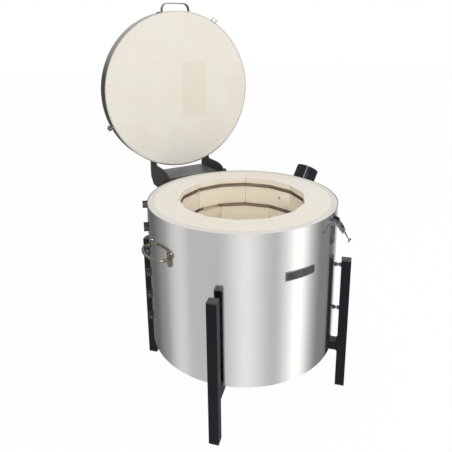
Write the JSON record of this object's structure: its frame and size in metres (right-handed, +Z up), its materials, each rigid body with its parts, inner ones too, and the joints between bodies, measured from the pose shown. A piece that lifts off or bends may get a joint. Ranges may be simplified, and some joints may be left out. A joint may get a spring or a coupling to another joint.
{
  "type": "electric kiln",
  "caption": "Round top-loading electric kiln with a hinged lid standing open, a bricked chamber, heating rows, an oblique vent stub, an over-centre latch and tubular legs.",
  "frame": {"origin": "on the floor, at the centre of the four foot holes, under the chamber's axis", "axes": "+Z up along the chamber's axis; -Y towards the front, where the nameplate is; +Y towards the lid hinge; +X to the right as seen from the front"},
  "size_m": [0.7413, 0.8413, 1.269],
  "materials": {
    "polished_steel": "polished",
    "plain_steel": "satin",
    "firebrick": "matte",
    "fibre_board": "matte",
    "white_ceramic": "matte",
    "element_wire": "matte",
    "powder_coat": "satin",
    "hammered_paint": "satin",
    "vent_paint": "satin",
    "black_plastic": "matte",
    "etched_plate": "satin",
    "bright_fixings": "polished"
  },
  "bodies": {
    "kiln": {"jacket": "polished_steel", "seam_bolts": "bright_fixings", "base_pan": "plain_steel", "floor_board": "fibre_board", "floor_slab": "firebrick", "backup_insulation": "fibre_board", "wall_course_1": "firebrick", "wall_course_2": "firebrick", "wall_course_3": "firebrick", "wall_course_4": "firebrick", "heating_element_1": "element_wire", "heating_element_2": "element_wire", "heating_element_3": "element_wire", "heating_element_4": "element_wire", "lead_bushings": "white_ceramic", "thermocouple": "white_ceramic", "leg_front_left": "powder_coat", "leg_front_right": "powder_coat", "leg_rear_left": "powder_coat", "leg_rear_right": "powder_coat", "leg_feet": "black_plastic", "leg_caps": "black_plastic", "leg_studs": "bright_fixings", "leg_stud_nuts": "bright_fixings", "handle_left": "bright_fixings", "handle_right": "bright_fixings", "handle_rivets": "bright_fixings", "nameplate": "etched_plate", "vent_tube": "vent_paint", "vent_flange": "vent_paint", "terminal_box": "hammered_paint", "terminal_cover": "hammered_paint", "cover_screws": "bright_fixings", "terminal_blocks": "white_ceramic", "cable_gland": "black_plastic", "hinge_lug_left": "hammered_paint", "hinge_lug_right": "hammered_paint", "lug_bolts": "bright_fixings", "hinge_pin": "bright_fixings", "hinge_washers": "bright_fixings", "latch_base": "bright_fixings", "latch_pins": "bright_fixings", "latch_rivets": "bright_fixings"},
    "lid": {"lid_slab": "firebrick", "lid_band": "polished_steel", "lid_top_sheet": "polished_steel", "band_bolt": "bright_fixings", "lid_handle": "bright_fixings", "lid_rivets": "bright_fixings", "lid_catch": "bright_fixings", "hinge_bracket": "hammered_paint", "tie_rod": "bright_fixings", "tie_rod_cap": "black_plastic", "lid_bolts": "bright_fixings"},
    "latch_lever": {"latch_lever": "bright_fixings", "latch_hook_pin": "bright_fixings"},
    "latch_hook": {"latch_hook": "bright_fixings"}
  },
  "joints": [
    {"name": "lid_hinge", "type": "hinge", "parent": "kiln", "child": "lid", "pos_m": [0, 0.376, 0.564], "axis": [1, 0, 0], "range_deg": [0, 90]},
    {"name": "latch_pivot", "type": "hinge", "parent": "kiln", "child": "latch_lever", "pos_m": [0.157, -0.27193, 0.616], "axis": [-0.866, -0.5, 0], "range_deg": [-38, 15]},
    {"name": "hook_pivot", "type": "hinge", "parent": "latch_lever", "child": "latch_hook", "pos_m": [0.16434, -0.28464, 0.60209], "axis": [-0.866, -0.5, 0], "range_deg": [0, 165]}
  ]
}
